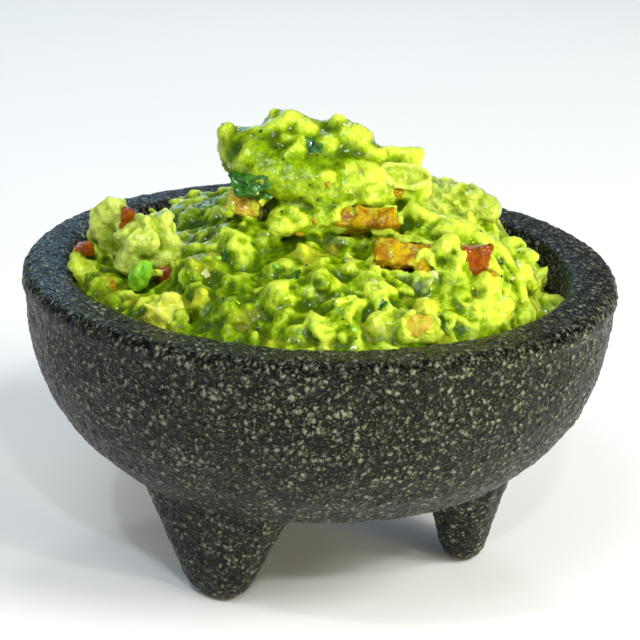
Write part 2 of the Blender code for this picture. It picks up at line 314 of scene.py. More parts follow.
def floor_look():
    """A plain pale floor."""
    made, shader, add = new_material("pale_floor")
    shade = noise_texture(add, coordinates(add), 3, 2, 0.5)
    colour = ramp(add, shade, (0.3, grey(0.93)), (0.7, grey(0.95)))
    wire(shader, "Base Color", colour)
    set_values(shader, Roughness=0.7, Specular_IOR_Level=0.2)
    return made


# ---------------------------------------------------------------- mesh helpers

def link(name, mesh, look, slot, *replaced):
    """Adds a finished piece that rides on the object, and the CAD nodes that it stands for."""
    piece = bpy.data.objects.new(name, mesh)
    bpy.context.scene.collection.objects.link(piece)
    mesh.materials.clear()
    mesh.materials.append(look)
    mesh.polygons.foreach_set("use_smooth", np.ones(len(mesh.polygons), dtype=bool))
    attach(piece, "root")
    if replaced:
        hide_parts(*replaced)
    return piece


def remeshed(mesh, voxel, smoothing):
    """The mesh's outer skin on an even grid, with its creases smoothed. The input is used up."""
    scratch = bpy.data.objects.new("scratch", mesh)
    bpy.context.scene.collection.objects.link(scratch)
    remesh = scratch.modifiers.new("skin", "REMESH")
    remesh.mode = "VOXEL"
    remesh.voxel_size = voxel
    if smoothing:
        smooth = scratch.modifiers.new("smooth", "SMOOTH")
        smooth.factor = 0.5
        smooth.iterations = smoothing
    depsgraph = bpy.context.evaluated_depsgraph_get()
    made = bpy.data.meshes.new_from_object(scratch.evaluated_get(depsgraph))
    bpy.data.objects.remove(scratch)
    return made


def points_of(mesh):
    """The mesh's points as an array."""
    points = np.empty(len(mesh.vertices) * 3)
    mesh.vertices.foreach_get("co", points)
    return points.reshape(-1, 3)


def normals_of(mesh):
    """The mesh's point normals as an array."""
    normals = np.empty(len(mesh.vertices) * 3)
    mesh.vertex_normals.foreach_get("vector", normals)
    return normals.reshape(-1, 3)


def set_points(mesh, points):
    """Moves the mesh's points."""
    mesh.vertices.foreach_set("co", np.ascontiguousarray(points, dtype=np.float64).ravel())
    mesh.update()


def noise_at(points, size):
    """Noise from about -1 to 1 at each point, with features of about the given size."""
    scale = 1 / size
    return np.array([noise.noise(Vector(p) * scale) for p in points])


def roughen(mesh, *layers):
    """Moves points along their normals by noise, in (size, depth) layers."""
    points = points_of(mesh)
    shift = sum(noise_at(points, size) * depth for size, depth in layers)
    set_points(mesh, points + normals_of(mesh) * shift[:, None])


def ridge(mesh, weights, size, depth):
    """Raises sharp winding ridges, like torn mash."""
    points = points_of(mesh)
    shift = (0.3 - np.abs(noise_at(points, size))) * depth * weights
    set_points(mesh, points + normals_of(mesh) * shift[:, None])


def relax(mesh, weights, steps):
    """Draws each point towards the middle of its neighbours, by its weight from 0 to 1."""
    edges = np.empty(len(mesh.edges) * 2, dtype=np.int64)
    mesh.edges.foreach_get("vertices", edges)
    first, second = edges.reshape(-1, 2).T
    points = points_of(mesh)
    count = len(points)
    neighbours = np.bincount(first, minlength=count) + np.bincount(second, minlength=count)
    for _ in range(steps):
        for axis in range(3):
            along = points[:, axis]
            total = np.bincount(first, along[second], count) + np.bincount(second, along[first], count)
            points[:, axis] = along + 0.5 * weights * (total / neighbours - along)
    set_points(mesh, points)


def outer_shell(mesh, bottom):
    """Drops the shells inside the largest one, and closes it with a flat floor at bottom."""
    edges = np.empty(len(mesh.edges) * 2, dtype=np.int64)
    mesh.edges.foreach_get("vertices", edges)
    first, second = edges.reshape(-1, 2).T
    labels = np.arange(len(mesh.vertices))
    while True:
        lowest = np.minimum(labels[first], labels[second])
        joined = labels.copy()
        np.minimum.at(joined, first, lowest)
        np.minimum.at(joined, second, lowest)
        joined = joined[joined]
        if (joined == labels).all():
            break
        labels = joined
    largest = np.bincount(labels).argmax()
    bm = bmesh.new()
    bm.from_mesh(mesh)
    inner = [v for v, label in zip(bm.verts, labels) if label != largest]
    bmesh.ops.delete(bm, geom=inner, context="VERTS")
    bmesh.ops.bisect_plane(bm, geom=bm.verts[:] + bm.edges[:] + bm.faces[:], dist=0.01 * MM,
                           plane_co=(0, 0, bottom), plane_no=(0, 0, 1), clear_inner=True)
    bmesh.ops.holes_fill(bm, edges=[e for e in bm.edges if e.is_boundary], sides=0)
    bm.to_mesh(mesh)
    bm.free()
    mesh.update()


def crests(mesh, reach):
    """How far each point stands out of its softened surroundings: 0 in hollows, 1 on crests."""
    points = points_of(mesh)
    soft = mesh.copy()
    relax(soft, np.ones(len(points)), 30)
    height = ((points - points_of(soft)) * normals_of(soft)).sum(axis=1)
    bpy.data.meshes.remove(soft)
    return np.clip(0.5 + height / reach, 0, 1)


def keep_tint(mesh, values):
    """Stores paleness, browning, yellowness and the crest measure, which paints highlights on
    crests and shade in hollows, on the mesh's points.
    """
    layer = mesh.color_attributes.new("tint", "FLOAT_COLOR", "POINT")
    layer.data.foreach_set("color", np.ascontiguousarray(values).ravel())


def mesh_of(name, points, faces):
    """A mesh from arrays of points and of triangles."""
    mesh = bpy.data.meshes.new(name)
    mesh.from_pydata([tuple(p) for p in points], [], [tuple(f) for f in faces])
    mesh.update()
    return mesh


def unit_sphere(detail):
    """An icosphere's points and triangles."""
    bm = bmesh.new()
    bmesh.ops.create_icosphere(bm, subdivisions=detail, radius=1)
    points = np.array([v.co[:] for v in bm.verts])
    faces = np.array([[v.index for v in f.verts] for f in bm.faces])
    bm.free()
    return points, faces


SPHERES = {detail: unit_sphere(detail) for detail in (2, 3, 4)}


class Pile:
    """Closed forms gathered in the heap's frame, in mm, with a tint for each."""

    def __init__(self):
        self.points, self.faces, self.tints, self.count = [], [], [], 0

    def add(self, points, faces, tint):
        """Adds a form's points and triangles."""
        self.points.append(points)
        self.faces.append(faces + self.count)
        self.tints.append(np.tile(tint, (len(points), 1)))
        self.count += len(points)

    def mesh(self, name):
        """All forms as one mesh in the object's frame."""
        points = np.vstack(self.points) * MM
        turn = np.array(HEAP.to_3x3())
        place = np.array(HEAP.translation)
        return mesh_of(name, points @ turn.T + place, np.vstack(self.faces))


def turn_matrix(turns):
    """A rotation array from X, Y and Z turns in degrees."""
    return np.array(Euler([math.radians(t) for t in turns]).to_matrix())


def unit_vectors(rng, count):
    """Evenly spread random directions."""
    made = rng.normal(size=(count, 3))
    return made / np.linalg.norm(made, axis=1)[:, None]


def chunk(rng, centre, half_sizes, turn, squareness=2.6, cuts=3, dents=0.10, detail=3):
    """A crushed chunk: a rounded block with flats where it was cut, and shallow dents."""
    directions, faces = SPHERES[detail]
    norm = (np.abs(directions) ** squareness).sum(axis=1) ** (1 / squareness)
    form = directions / norm[:, None]
    for normal in unit_vectors(rng, cuts):
        reach = form @ normal
        limit = rng.uniform(0.55, 0.85) * reach.max()
        form = form - np.outer(np.maximum(reach - limit, 0), normal)
    wave = unit_vectors(rng, 3) * rng.uniform(2, 4.5, (3, 1))
    phase = rng.uniform(0, math.tau, 3)
    form = form * (1 + dents * np.sin(directions @ wave.T + phase).mean(axis=1))[:, None]
    return (form * np.array(half_sizes)) @ np.array(turn).T + np.array(centre), faces


# ---------------------------------------------------------------- bowl

def build_bowl(look):
    """The bowl with its facets rounded out, soft fillets at the legs and a coarse stipple."""
    mesh = remeshed(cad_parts["bowl"].data.copy(), BOWL_VOXEL, 6)
    points = points_of(mesh)
    segment = math.tau / CAD_SEGMENTS
    angle = np.arctan2(points[:, 1], points[:, 0]) % segment - segment / 2
    swell = np.cos(angle) / math.cos(segment / 2)
    points[:, :2] *= np.where(points[:, 2] > LEGS_TOP, swell, 1)[:, None]
    set_points(mesh, points)
    roughen(mesh, (14 * MM, 0.35 * MM), (3.0 * MM, 0.40 * MM), (1.4 * MM, 0.35 * MM))
    points = points_of(mesh)
    points[:, 2] = np.maximum(points[:, 2], 0)
    set_points(mesh, points)
    return link("bowl_shell", mesh, look, "bowl", "bowl")


# ---------------------------------------------------------------- heap

# Lumps that the heap is known by: centre, half sizes, turns in degrees, squareness, paleness and
# yellowness, in mm in the heap's frame.
SCOOP_LUMPS = [
    ((-8, -9, 33), (24, 15, 11), (0, 8, 0), 2.2, 0.40, 0.0),
    ((-23, -10, 38), (10, 9, 8), (0, 28, 0), 2.3, 0.35, 0.0),
    ((-32, -6, 44.5), (3.4, 3.6, 4.0), (0, -25, 0), 2.4, 0.40, 0.1),
    ((-27, -6, 43.5), (5.5, 5, 3.5), (0, -10, 0), 2.2, 0.35, 0.0),
    ((-20, -7, 45), (5, 4.5, 3), (0, 10, 0), 2.6, 0.55, 0.0),
    ((-15.5, -6, 47.5), (4.6, 4, 3.2), (0, -20, 0), 2.8, 0.75, 0.0),
    ((-10.5, -4, 50.2), (4.6, 4, 2.6), (0, 20, 10), 2.8, 0.90, 0.1),
    ((-6, -7, 47.3), (4.4, 4, 3), (20, 25, 10), 2.8, 0.70, 0.0),
    ((-10, -10, 44), (7, 5, 4), (0, 10, 0), 2.4, 0.45, 0.0),
    ((0, -10, 43), (6, 5, 4.5), (0, -20, 0), 2.4, 0.45, 0.0),
    ((3.6, -3.5, 49), (2.6, 3, 3.4), (0, 15, 0), 2.4, 0.80, 0.0),
    ((6, -4.5, 46.5), (4.6, 4.2, 3.6), (0, 40, 0), 2.6, 0.60, 0.0),
    ((10, -6, 43), (8, 6.5, 6.5), (0, 25, 0), 2.6, 0.50, 0.0),
    ((15.5, -8, 40.5), (5, 4.5, 4), (0, 10, 0), 2.6, 0.60, 0.1),
    ((12, -15, 34), (9, 6, 6), (0, 10, 0), 2.3, 0.60, 0.0),
    ((26, -7, 31), (10, 5.5, 4.4), (-20, 8, 0), 2.2, 0.55, 0.0),
    ((17, -10, 28), (9, 8, 6), (0, 0, 0), 2.3, 0.60, 0.0),
]
HEAP_LUMPS = [
    ((-4, -21, 19), (10, 6, 5), (0, 0, 0), 2.3, 0.40, 0.0),
    ((-10, -23, 22), (8, 6, 3.6), (30, -22, 10), 3.2, 0.60, 0.0),
    ((3, -22, 22), (7, 5, 3.6), (20, 16, 0), 2.8, 0.60, 0.0),
    ((-20, -24, 15), (7, 6, 4.2), (20, -10, 0), 2.8, 0.45, 0.0),
    ((33, -18, 22), (7, 6, 5.5), (0, 20, 0), 2.3, 0.70, 0.0),
    ((43, -22, 18), (9, 7, 5.5), (0, 22, 0), 2.3, 0.65, 0.0),
    ((52, -22, 14), (8, 7, 5), (0, 30, 0), 2.3, 0.65, 0.0),
    ((41, -36, 15), (5, 5, 7), (0, 0, 0), 2.3, 0.60, 0.0),
    ((43, -42, 8), (6, 5, 4.5), (0, 0, 0), 2.3, 0.60, 0.0),
    ((53, -44, 9), (4.5, 4, 4), (0, 0, 0), 2.3, 0.65, 0.2),
    ((34, -55, 3.5), (4.2, 3.6, 3), (0, 15, 10), 3.0, 0.85, 0.5),
    ((12, -40, 10), (7, 6, 4), (0, 15, 0), 2.3, 0.55, 0.0),
    ((62, -24, 4), (6, 8, 7), (0, 60, 10), 2.2, 0.55, 0.0),
    ((56, -36, 2), (7, 6, 6), (0, 40, 0), 2.3, 0.50, 0.0),
    ((66, -10, -4), (8, 9, 6), (0, 20, 0), 2.3, 0.60, 0.1),
    ((64, -28, -5), (8, 8, 5), (0, 20, 0), 2.3, 0.60, 0.1),
    ((-78, -20, 0.5), (5, 4.5, 3.5), (0, 20, 0), 2.8, 0.85, 0.1),
    ((-70, -26, -4), (6, 6, 5), (0, 0, 0), 2.3, 0.45, 0.1),
    ((-66, -32, -6), (6, 6, 5), (0, 0, 0), 2.3, 0.45, 0.1),
    ((-38, -24, 7), (7, 7, 7), (0, 10, 0), 2.5, 0.45, 0.0),
    ((-40, -40, 4), (6, 6, 5), (0, 10, 0), 2.5, 0.45, 0.0),
    ((-28, 18, 8), (10, 7, 4), (0, 20, 30), 2.5, 0.45, 0.0),
    ((-42, 14, 3), (9, 6, 5), (0, -10, 0), 2.5, 0.55, 0.0),
    ((56, 36, 2), (9, 8, 6), (0, 15, 0), 2.5, 0.45, 0.0),
    ((66, 22, -4), (6, 6, 8), (0, 0, 0), 2.5, 0.40, 0.0),
]

# Long torn strands: start, end, radii at both, bulge upwards, paleness.
STRANDS = [
    ((19, -6, 39.5), (31, -6, 40.2), 3.0, 2.3, 0.8, 0.80),
    ((21, -7, 36.5), (30.5, -7, 37.6), 2.8, 2.2, 0.2, 0.70),
    ((14, -48, 8), (25, -68, -2), 3.6, 3.0, 2, 0.70),
    ((7, -54, 4), (13, -74, -5), 3.2, 2.6, 1, 0.60),
    ((57, -24, 14), (66, -32, -3), 2.4, 2.4, 3, 0.60),
    ((60, -20, 12), (70, -22, -6), 2.6, 2.2, 3, 0.65),
    ((53, -30, 14), (60, -44, -3), 2.2, 2.6, 2, 0.70),
    ((-46, 20, 6), (-30, 40, 2), 2.4, 2.0, 3, 0.50),
    ((-20, 30, 8), (-38, 46, 0), 2.6, 2.4, 2, 0.45),
    ((-68, -16, 0), (-65, -40, -6), 2.8, 2.4, 1, 0.40),
    ((-4, -46, 8), (-12, -66, -2), 3.0, 2.6, 2, 0.55),
    ((-24, -40, 6), (-20, -62, -3), 2.8, 2.6, 2, 0.50),
]

# How many smears of mash lap over each topping, where it stands out of the heap by LAP_START to
# LAP_REACH mm.
LAPPED = {
    "avocado_1": 8, "avocado_2": 14, "avocado_3": 8, "avocado_4": 10, "tomato_1": 6, "tomato_2": 7,
    "tomato_3": 12, "tomato_4": 6, "tomato_5": 8, "tomato_6": 16, "tomato_7": 18, "tomato_8": 6,
    "green_pepper": 2,
}
LAP_START = 0.5
LAP_REACH = 3.2

# How far the mash that fills a topping's socket is sunk under the topping's surface, in mm.
SOCKET_FILL = 1.9

# Grades of chunks: count, smallest and largest half size in mm, how far each is sunk as a share of
# its thickness, cuts, detail.
GRADES = [
    (60, 3.6, 6.5, 0.65, 6, 4),
    (150, 1.9, 3.8, 0.45, 5, 3),
    (480, 0.8, 1.7, 0.2, 3, 2),
]


def strand(start, end, radius_start, radius_end, bulge, rings=14):
    """A curved, tapering strand made of overlapping balls."""
    start, end = np.array(start, float), np.array(end, float)
    directions, faces = SPHERES[2]
    for i in range(rings):
        share = i / (rings - 1)
        centre = start + (end - start) * share
        centre[2] += bulge * 4 * share * (1 - share)
        radius = radius_start + (radius_end - radius_start) * share
        yield directions * radius * (1 + 0.12 * math.sin(5 * share + radius)) + centre, faces


def welded(mesh):
    """A copy of a CAD mesh whose faces share their points."""
    bm = bmesh.new()
    bm.from_mesh(mesh)
    bmesh.ops.remove_doubles(bm, verts=bm.verts, dist=0.01 * MM)
    bmesh.ops.triangulate(bm, faces=bm.faces)
    made = bpy.data.meshes.new("welded")
    bm.to_mesh(made)
    bm.free()
    return made


def cad_surface(node):
    """The CAD node in the heap's frame, in mm: points, point normals and triangles."""
    mesh = welded(node.data)
    turn = np.array(HEAP_INVERSE.to_3x3())
    points = (points_of(mesh) @ turn.T + np.array(HEAP_INVERSE.translation)) / MM
    faces = np.array([p.vertices[:] for p in mesh.polygons])
    return points, normals_of(mesh) @ turn.T, faces


def triangles_of(points, faces):
    """Corners, normals and areas of triangles."""
    corners = points[faces]
    cross = np.cross(corners[:, 1] - corners[:, 0], corners[:, 2] - corners[:, 0])
    length = np.linalg.norm(cross, axis=1)
    return corners, cross / np.maximum(length, 1e-9)[:, None], length / 2


def scatter(rng, corners, normals, areas, count, lowest, reach):
    """Random places on the heap's open surface, above lowest and within reach of its axis."""
    middles = corners.mean(axis=1)
    open_to_air = (middles[:, 2] > lowest) & (np.hypot(middles[:, 0], middles[:, 1]) < reach)
    weights = np.where(open_to_air, areas, 0)
    picked = rng.choice(len(areas), count, p=weights / weights.sum())
    shares = rng.dirichlet((1, 1, 1), count)
    return np.einsum("ij,ijk->ik", shares, corners[picked]), normals[picked]


def random_turn(rng, normal, lean):
    """A turn that lays a form's third axis along normal, give or take lean radians."""
    upright = Vector(normal).normalized()
    tilt = Euler(rng.normal(0, lean, 3)).to_matrix()
    spin = Matrix.Rotation(rng.uniform(0, math.tau), 3, "Z")
    return np.array(tilt @ upright.to_track_quat("Z", "Y").to_matrix() @ spin)


def on_scoop(place):
    """Whether a place is on the smooth scoop at the top."""
    return place[2] > SCOOP_FOOT


def lap_over_toppings(rng, pile, tree):
    """Mash that fills the toppings' sockets, and smears of it over their lower edges, so that
    they look pressed in."""
    for name, smears in LAPPED.items():
        points, point_normals, faces = cad_surface(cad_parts[name])
        pile.add(points - point_normals * SOCKET_FILL, faces, (0.2, 0.0, 0.0))
        corners, normals, areas = triangles_of(points, faces)
        places, directions = scatter(rng, corners, normals, areas, smears * 12, -20, 200)
        near_edge = [LAP_START < tree.find_nearest(place)[3] < LAP_REACH for place in places]
        places, directions = places[near_edge][:smears], directions[near_edge][:smears]
        for place, direction in zip(places, directions):
            size = rng.uniform(1.3, 2.6) * rng.uniform((0.9, 0.6, 0.25), (1.7, 1.1, 0.5))
            form = chunk(rng, place, size, random_turn(rng, direction, 0.25), 2.5, 2, 0.12, 3)
            pile.add(*form, (rng.uniform(0.3, 0.9), 0.0, 0.0))


def gather_heap(rng):
    """Mound, named lumps, strands, and chunks of all sizes pressed into the surface."""
    pile = Pile()
    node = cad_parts["guacamole"]
    points, point_normals, faces = cad_surface(node)
    pile.add(points - point_normals * CORE_SINK, faces, (0.42, 0.0, 0.0))
    corners, normals, areas = triangles_of(points, faces)
    for centre, half_sizes, turns, squareness, pale, yellow in SCOOP_LUMPS + HEAP_LUMPS:
        form = chunk(rng, centre, half_sizes, turn_matrix(turns), squareness, 2, 0.12, 4)
        pile.add(*form, (pale, 0.0, yellow))
    for start, end, radius_start, radius_end, bulge, pale in STRANDS:
        for form in strand(start, end, radius_start, radius_end, bulge):
            pile.add(*form, (pale, 0.0, 0.0))
    surface = bvhtree.BVHTree.FromPolygons(points.tolist(), faces.tolist())
    lap_over_toppings(rng, pile, surface)
    for count, smallest, largest, sink, cuts, detail in GRADES:
        places, directions = scatter(rng, corners, normals, areas, count, -16, 82)
        for place, direction in zip(places, directions):
            size = rng.uniform(smallest, largest) * rng.uniform((1.0, 0.6, 0.35), (1.9, 1.1, 0.65))
            pale = np.clip(rng.normal(0.52, 0.24), 0, 1)
            brown = 0.9 if rng.random() < 0.05 else 0.0
            yellow = rng.uniform(0.1, 0.4) if rng.random() < 0.12 else 0.0
            form = chunk(rng, place - direction * size[2] * sink, size,
                         random_turn(rng, direction, 0.35), 3.0, cuts, 0.2, detail)
            near_slice = math.dist(place, SLICE_CENTRE) < 12
            if near_slice or (on_scoop(place) and (smallest > 3 or rng.random() < 0.5)):
                continue
            pile.add(*form, (pale, brown, yellow))
    return pile


def transfer_tints(mesh, source_points, tints):
    """Gives each point the tint of the nearest source point, and keeps it as an attribute."""
    tree = kdtree.KDTree(len(source_points))
    for index, point in enumerate(source_points):
        tree.insert(point, index)
    tree.balance()
    points = points_of(mesh)
    nearest = np.array([tree.find(p)[1] for p in points])
    # The crest measure goes into alpha, for painted highlights on crests and painted shade in hollows.
    keep_tint(mesh, np.column_stack((tints[nearest], crests(mesh, CREST_REACH))))


def keep_inside_bowl(mesh, clearance):
    """Draws points that are below the rim back from the bowl's wall."""
    points = points_of(mesh)
    mouth = RIM_RADIUS - RIM_WIDTH
    depth = np.clip((RIM_TOP - points[:, 2]) / HOLLOW_DEPTH, 0, 0.999)
    allowed = mouth * np.sqrt(1 - depth**HOLLOW_CURVE) + clearance
    radius = np.hypot(points[:, 0], points[:, 1])
    below_rim = points[:, 2] < RIM_TOP + 1 * MM
    factor = np.where(below_rim, np.minimum(1, allowed / np.maximum(radius, 1e-6)), 1)
    points[:, :2] *= factor[:, None]
    set_points(mesh, points)


def build_heap(look):
    """The heap as one wet mass in which single chunks can be told apart. It is painted paler
    towards the right as painted light from that side, creamier in patches and on the scoop, and torn
    elsewhere."""
    rng = np.random.default_rng(SEED)
    pile = gather_heap(rng)
    source = pile.mesh("guacamole_mash")
    source_points = points_of(source)
    tints = np.vstack(pile.tints)
    # Painted light: the heap's paleness is raised towards the right, where the key light falls.
    rightward = source_points @ np.array(HEAP.col[0][:3])
    tints[:, 0] += 0.18 * np.clip(rightward / (45 * MM), -0.8, 1)
    mesh = remeshed(source, HEAP_VOXEL, 2)
    outer_shell(mesh, RIM_TOP - HEAP_DEPTH)
    points = points_of(mesh)
    above_foot = points[:, 2] - RIM_TOP - SCOOP_FOOT * MM
    creamy = np.clip(0.5 + 1.3 * noise_at(points, 22 * MM), 0, 1)
    creamy = np.maximum(creamy, np.clip((above_foot + 2 * MM) / (6 * MM), 0, 0.6))
    relax(mesh, creamy, 8)
    torn = 1 - np.clip(above_foot / (6 * MM), 0, 0.6)
    ridge(mesh, torn, 5.5 * MM, 1.7 * MM)
    ridge(mesh, torn, 2.4 * MM, 0.6 * MM)
    roughen(mesh, (1.1 * MM, 0.15 * MM))
    keep_inside_bowl(mesh, 0.2 * MM)
    transfer_tints(mesh, source_points, tints)
    return link("guacamole_mash", mesh, look, "guacamole", "guacamole")


# ---------------------------------------------------------------- toppings

# The pepper's short direction in the heap's frame, and what is left of its width.
PEPPER_ACROSS = (0.81, 0, -0.58)
PEPPER_SQUEEZE = 0.7


def build_pepper(look):
    """The green pepper: the CAD node drawn in across its length into a leaning, knobbly pod."""
    mesh = remeshed(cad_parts["green_pepper"].data.copy(), PIECE_VOXEL, 5)
    points = points_of(mesh)
    centre = points.mean(axis=0)
    across = np.array(HEAP.to_3x3() @ Vector(PEPPER_ACROSS).normalized())
    along = (points - centre) @ across
    set_points(mesh, points - (1 - PEPPER_SQUEEZE) * along[:, None] * across)
    roughen(mesh, (4 * MM, 0.7 * MM), (2.0 * MM, 0.35 * MM))
    return link("green_pepper_piece", mesh, look, "green_pepper", "green_pepper")


def build_tomato(number, look, crumbs):
    """A diced tomato piece: the CAD form, bruised, with gel and seeds standing out of it."""
    name = f"tomato_{number}"
    rng = np.random.default_rng(SEED + 100 * number)
    pile = Pile()
    points, point_normals, faces = cad_surface(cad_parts[name])
    pile.add(points - point_normals * 0.5, faces, (0, 0, 0))
    places, directions = scatter(rng, *triangles_of(points, faces), crumbs, -30, 200)
    for place, direction in zip(places, directions):
        size = rng.uniform(0.8, 2.2) * rng.uniform((0.9, 0.6, 0.5), (1.6, 1.1, 0.8))
        form = chunk(rng, place - direction * (size[2] * 0.6 + 0.5), size,
                     random_turn(rng, direction, 0.3), 2.4, 2, 0.1, 3)
        pile.add(*form, (0, 0, 0))
    mesh = remeshed(pile.mesh(name), PIECE_VOXEL, 3)
    roughen(mesh, (6 * MM, 1.0 * MM), (2.2 * MM, 0.35 * MM), (1.0 * MM, 0.12 * MM))
    return link(f"{name}_piece", mesh, look, "tomato", name)


# Extra lumps on the avocado chunks: centre, half sizes, turns, squareness.
CHUNK_LUMPS = {
    "avocado_1": [((-70, -7, 16.5), (5.5, 5, 5), (0, 10, 0), 2.1),
                  ((-66, -10, 10), (3.5, 4, 7), (0, -15, 0), 2.4)],
    "avocado_2": [((-52.5, -20, 17), (3.2, 3.2, 5.5), (0, 12, 0), 2.6),
                  ((-48.5, -22, 10), (3.4, 4, 6), (0, -20, 0), 2.6),
                  ((-58, -26, 13), (5.5, 3.4, 4.2), (0, 15, 0), 3.0),
                  ((-63, -25, 6.5), (4, 3.4, 6), (0, 15, 0), 2.6),
                  ((-60.5, -20, 16), (4, 4, 3), (0, -20, 0), 2.6),
                  ((-51, -26, 7.5), (4, 3, 3), (0, 0, 0), 2.6)],
    "avocado_3": [],
    "avocado_4": [((50, 34, 15), (5, 5, 4), (0, 10, 0), 2.6),
                  ((38, 34, 14), (5, 5, 4.5), (0, -10, 0), 2.6),
                  ((57, 34, 9), (5, 5, 6), (0, 10, 0), 2.6)],
}


def build_avocado(name, look, crumbs, tint):
    """A crushed avocado chunk: the CAD form, pitted and with torn lumps on it."""
    rng = np.random.default_rng(SEED + sum(map(ord, name)))
    pile = Pile()
    points, point_normals, faces = cad_surface(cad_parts[name])
    pile.add(points - point_normals * 0.8, faces, (0, 0, 0))
    for centre, half_sizes, turns, squareness in CHUNK_LUMPS[name]:
        pile.add(*chunk(rng, centre, half_sizes, turn_matrix(turns), squareness, 3, 0.14, 4), (0, 0, 0))
    places, directions = scatter(rng, *triangles_of(points, faces), crumbs, -6, 200)
    for place, direction in zip(places, directions):
        size = rng.uniform(1.0, 2.9) * rng.uniform((0.9, 0.6, 0.4), (1.5, 1.1, 0.7))
        form = chunk(rng, place - direction * (size[2] * 0.5 + 0.5), size,
                     random_turn(rng, direction, 0.4), 2.8, 3, 0.1, 3)
        pile.add(*form, (0, 0, 0))
    mesh = remeshed(pile.mesh(name), PIECE_VOXEL, 3)
    relax(mesh, np.clip(0.5 + 1.5 * noise_at(points_of(mesh), 9 * MM), 0, 1), 8)
    roughen(mesh, (4 * MM, 0.6 * MM), (1.6 * MM, 0.2 * MM))
    tints = np.tile((*tint, 0.0), (len(mesh.vertices), 1))
    # The crest measure goes into alpha, for painted highlights on crests and painted shade in hollows.
    tints[:, 3] = crests(mesh, CREST_REACH)
    keep_tint(mesh, tints)
    return link(f"{name}_chunk", mesh, look, "avocado", name)


# The pale oval slice on the scoop: centre, half length and half height, turns.
SLICE_CENTRE = (26, -12.6, 34.6)
SLICE_SIZE = (8.2, 3.6)
SLICE_TURNS = (-22, 10, 8)


def build_slice(look):
    """The pale oval slice on the scoop's right: a disc with a raised edge, facing the camera."""
    directions, faces = SPHERES[3]
    turn = turn_matrix(SLICE_TURNS)
    pile = Pile()
    half_length, half_height = SLICE_SIZE
    disc = (directions * (half_length, 2.6, half_height)) @ turn.T
    pile.add(disc + np.array(SLICE_CENTRE), faces, (0, 0, 0))
    for angle in np.linspace(0, math.tau, 48, endpoint=False):
        reach = 1 + 0.06 * math.sin(3 * angle)
        edge = (half_length * math.cos(angle) * reach, -1.5, half_height * math.sin(angle) * reach)
        pile.add(directions * 1.25 + turn @ edge + np.array(SLICE_CENTRE), faces, (0, 0, 0))
    mesh = remeshed(pile.mesh("scoop_slice"), PIECE_VOXEL, 3)
    roughen(mesh, (7 * MM, 1.3 * MM), (1.8 * MM, 0.25 * MM))
    tints = np.tile((0.75, 0.0, 0.05, 0.0), (len(mesh.vertices), 1))
    # The crest measure goes into alpha, for painted highlights on crests and painted shade in hollows.
    tints[:, 3] = crests(mesh, CREST_REACH)
    keep_tint(mesh, tints)
    return link("scoop_slice", mesh, look, "avocado")


# ---------------------------------------------------------------- small pieces on the heap

# Places in mm in the heap's frame. Each leaf has its length, width and turn in degrees, and how
# closely it hugs the heap.
LEAVES = [
    ((-24.5, -21.5, 32.5), 14, 8, 40, 0.0),
    ((-19.5, -21, 29.5), 8, 5, 70, 0.0),
    ((-4, -14, 43.5), 6.5, 5.5, 20, 0.6),
    ((-50, -22, 8), 4, 3, 10, 0.6),
    ((-8, -48, 10), 5, 4, 60, 0.6),
    ((-30, -32, 10), 6, 3, 40, 0.6),
    ((20, -60, 5), 4, 2, 80, 0.6),
    ((-20, 34, 8), 8, 5, 15, 0.6),
    ((14, 40, 10), 7, 4, 70, 0.6),
    ((40, 8, 16), 6, 5, 120, 0.6),
    ((-4, 12, 34), 6, 4, 0, 0.6),
]
SPECKS = [
    (17.1, -8.8, 41.7), (26.8, -5, 39.1), (-4.4, -24, 33.5), (-4.5, -24, 26.9), (26.2, -27, 18.6),
    (31.6, -33, 18.4), (-13, -24, 24), (-2.5, -14, 39), (41, -36, 12), (20, -48, 10),
]
TOMATO_BITS = [
    (-7, -25, 18), (-2, -25, 21.5), (74, 6.5, -8), (64, -30, -3), (-59, -43, -2), (54, -44, 10),
    (-16, -20, 16), (30, -52, 5), (48, -48, 3),
]
ONION_BITS = [
    (33, -46, 10), (34, -49, 7), (36, -44, 11), (-38, -38, 5), (-42, -30, 7), (10, -40, 13),
    (61, -27, 6),
]
FREE_LEAF_FACES = (-0.3, -0.85, 0.45)


def on_surface(tree, place):
    """The point of the heap's surface nearest to a place, and its normal."""
    found, normal, _, _ = tree.find_nearest(HEAP @ (Vector(place) * MM))
    return found, normal


def random_places(rng, count):
    """Random places over the whole heap."""
    points, _, faces = cad_surface(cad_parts["guacamole"])
    places, _ = scatter(rng, *triangles_of(points, faces), count, -12, 79)
    return [tuple(place) for place in places]


def joined(name, forms):
    """One mesh made of several forms, each with its points and triangles."""
    all_points, all_faces, count = [], [], 0
    for points, faces in forms:
        all_points.append(points)
        all_faces.append(faces + count)
        count += len(points)
    return mesh_of(name, np.vstack(all_points), np.vstack(all_faces))


def bits(rng, tree, places, smallest, largest, sink, flatness, cuts):
    """Small chunks pressed into the heap at the places."""
    for place in places:
        found, normal = on_surface(tree, place)
        size = rng.uniform(smallest, largest) * rng.uniform(0.75, 1.3, 3) * MM / 2
        size[2] *= flatness
        centre = found - normal * size[2] * sink
        yield chunk(rng, centre, size, random_turn(rng, normal, 0.4), 3.2, cuts, 0.1, 2)


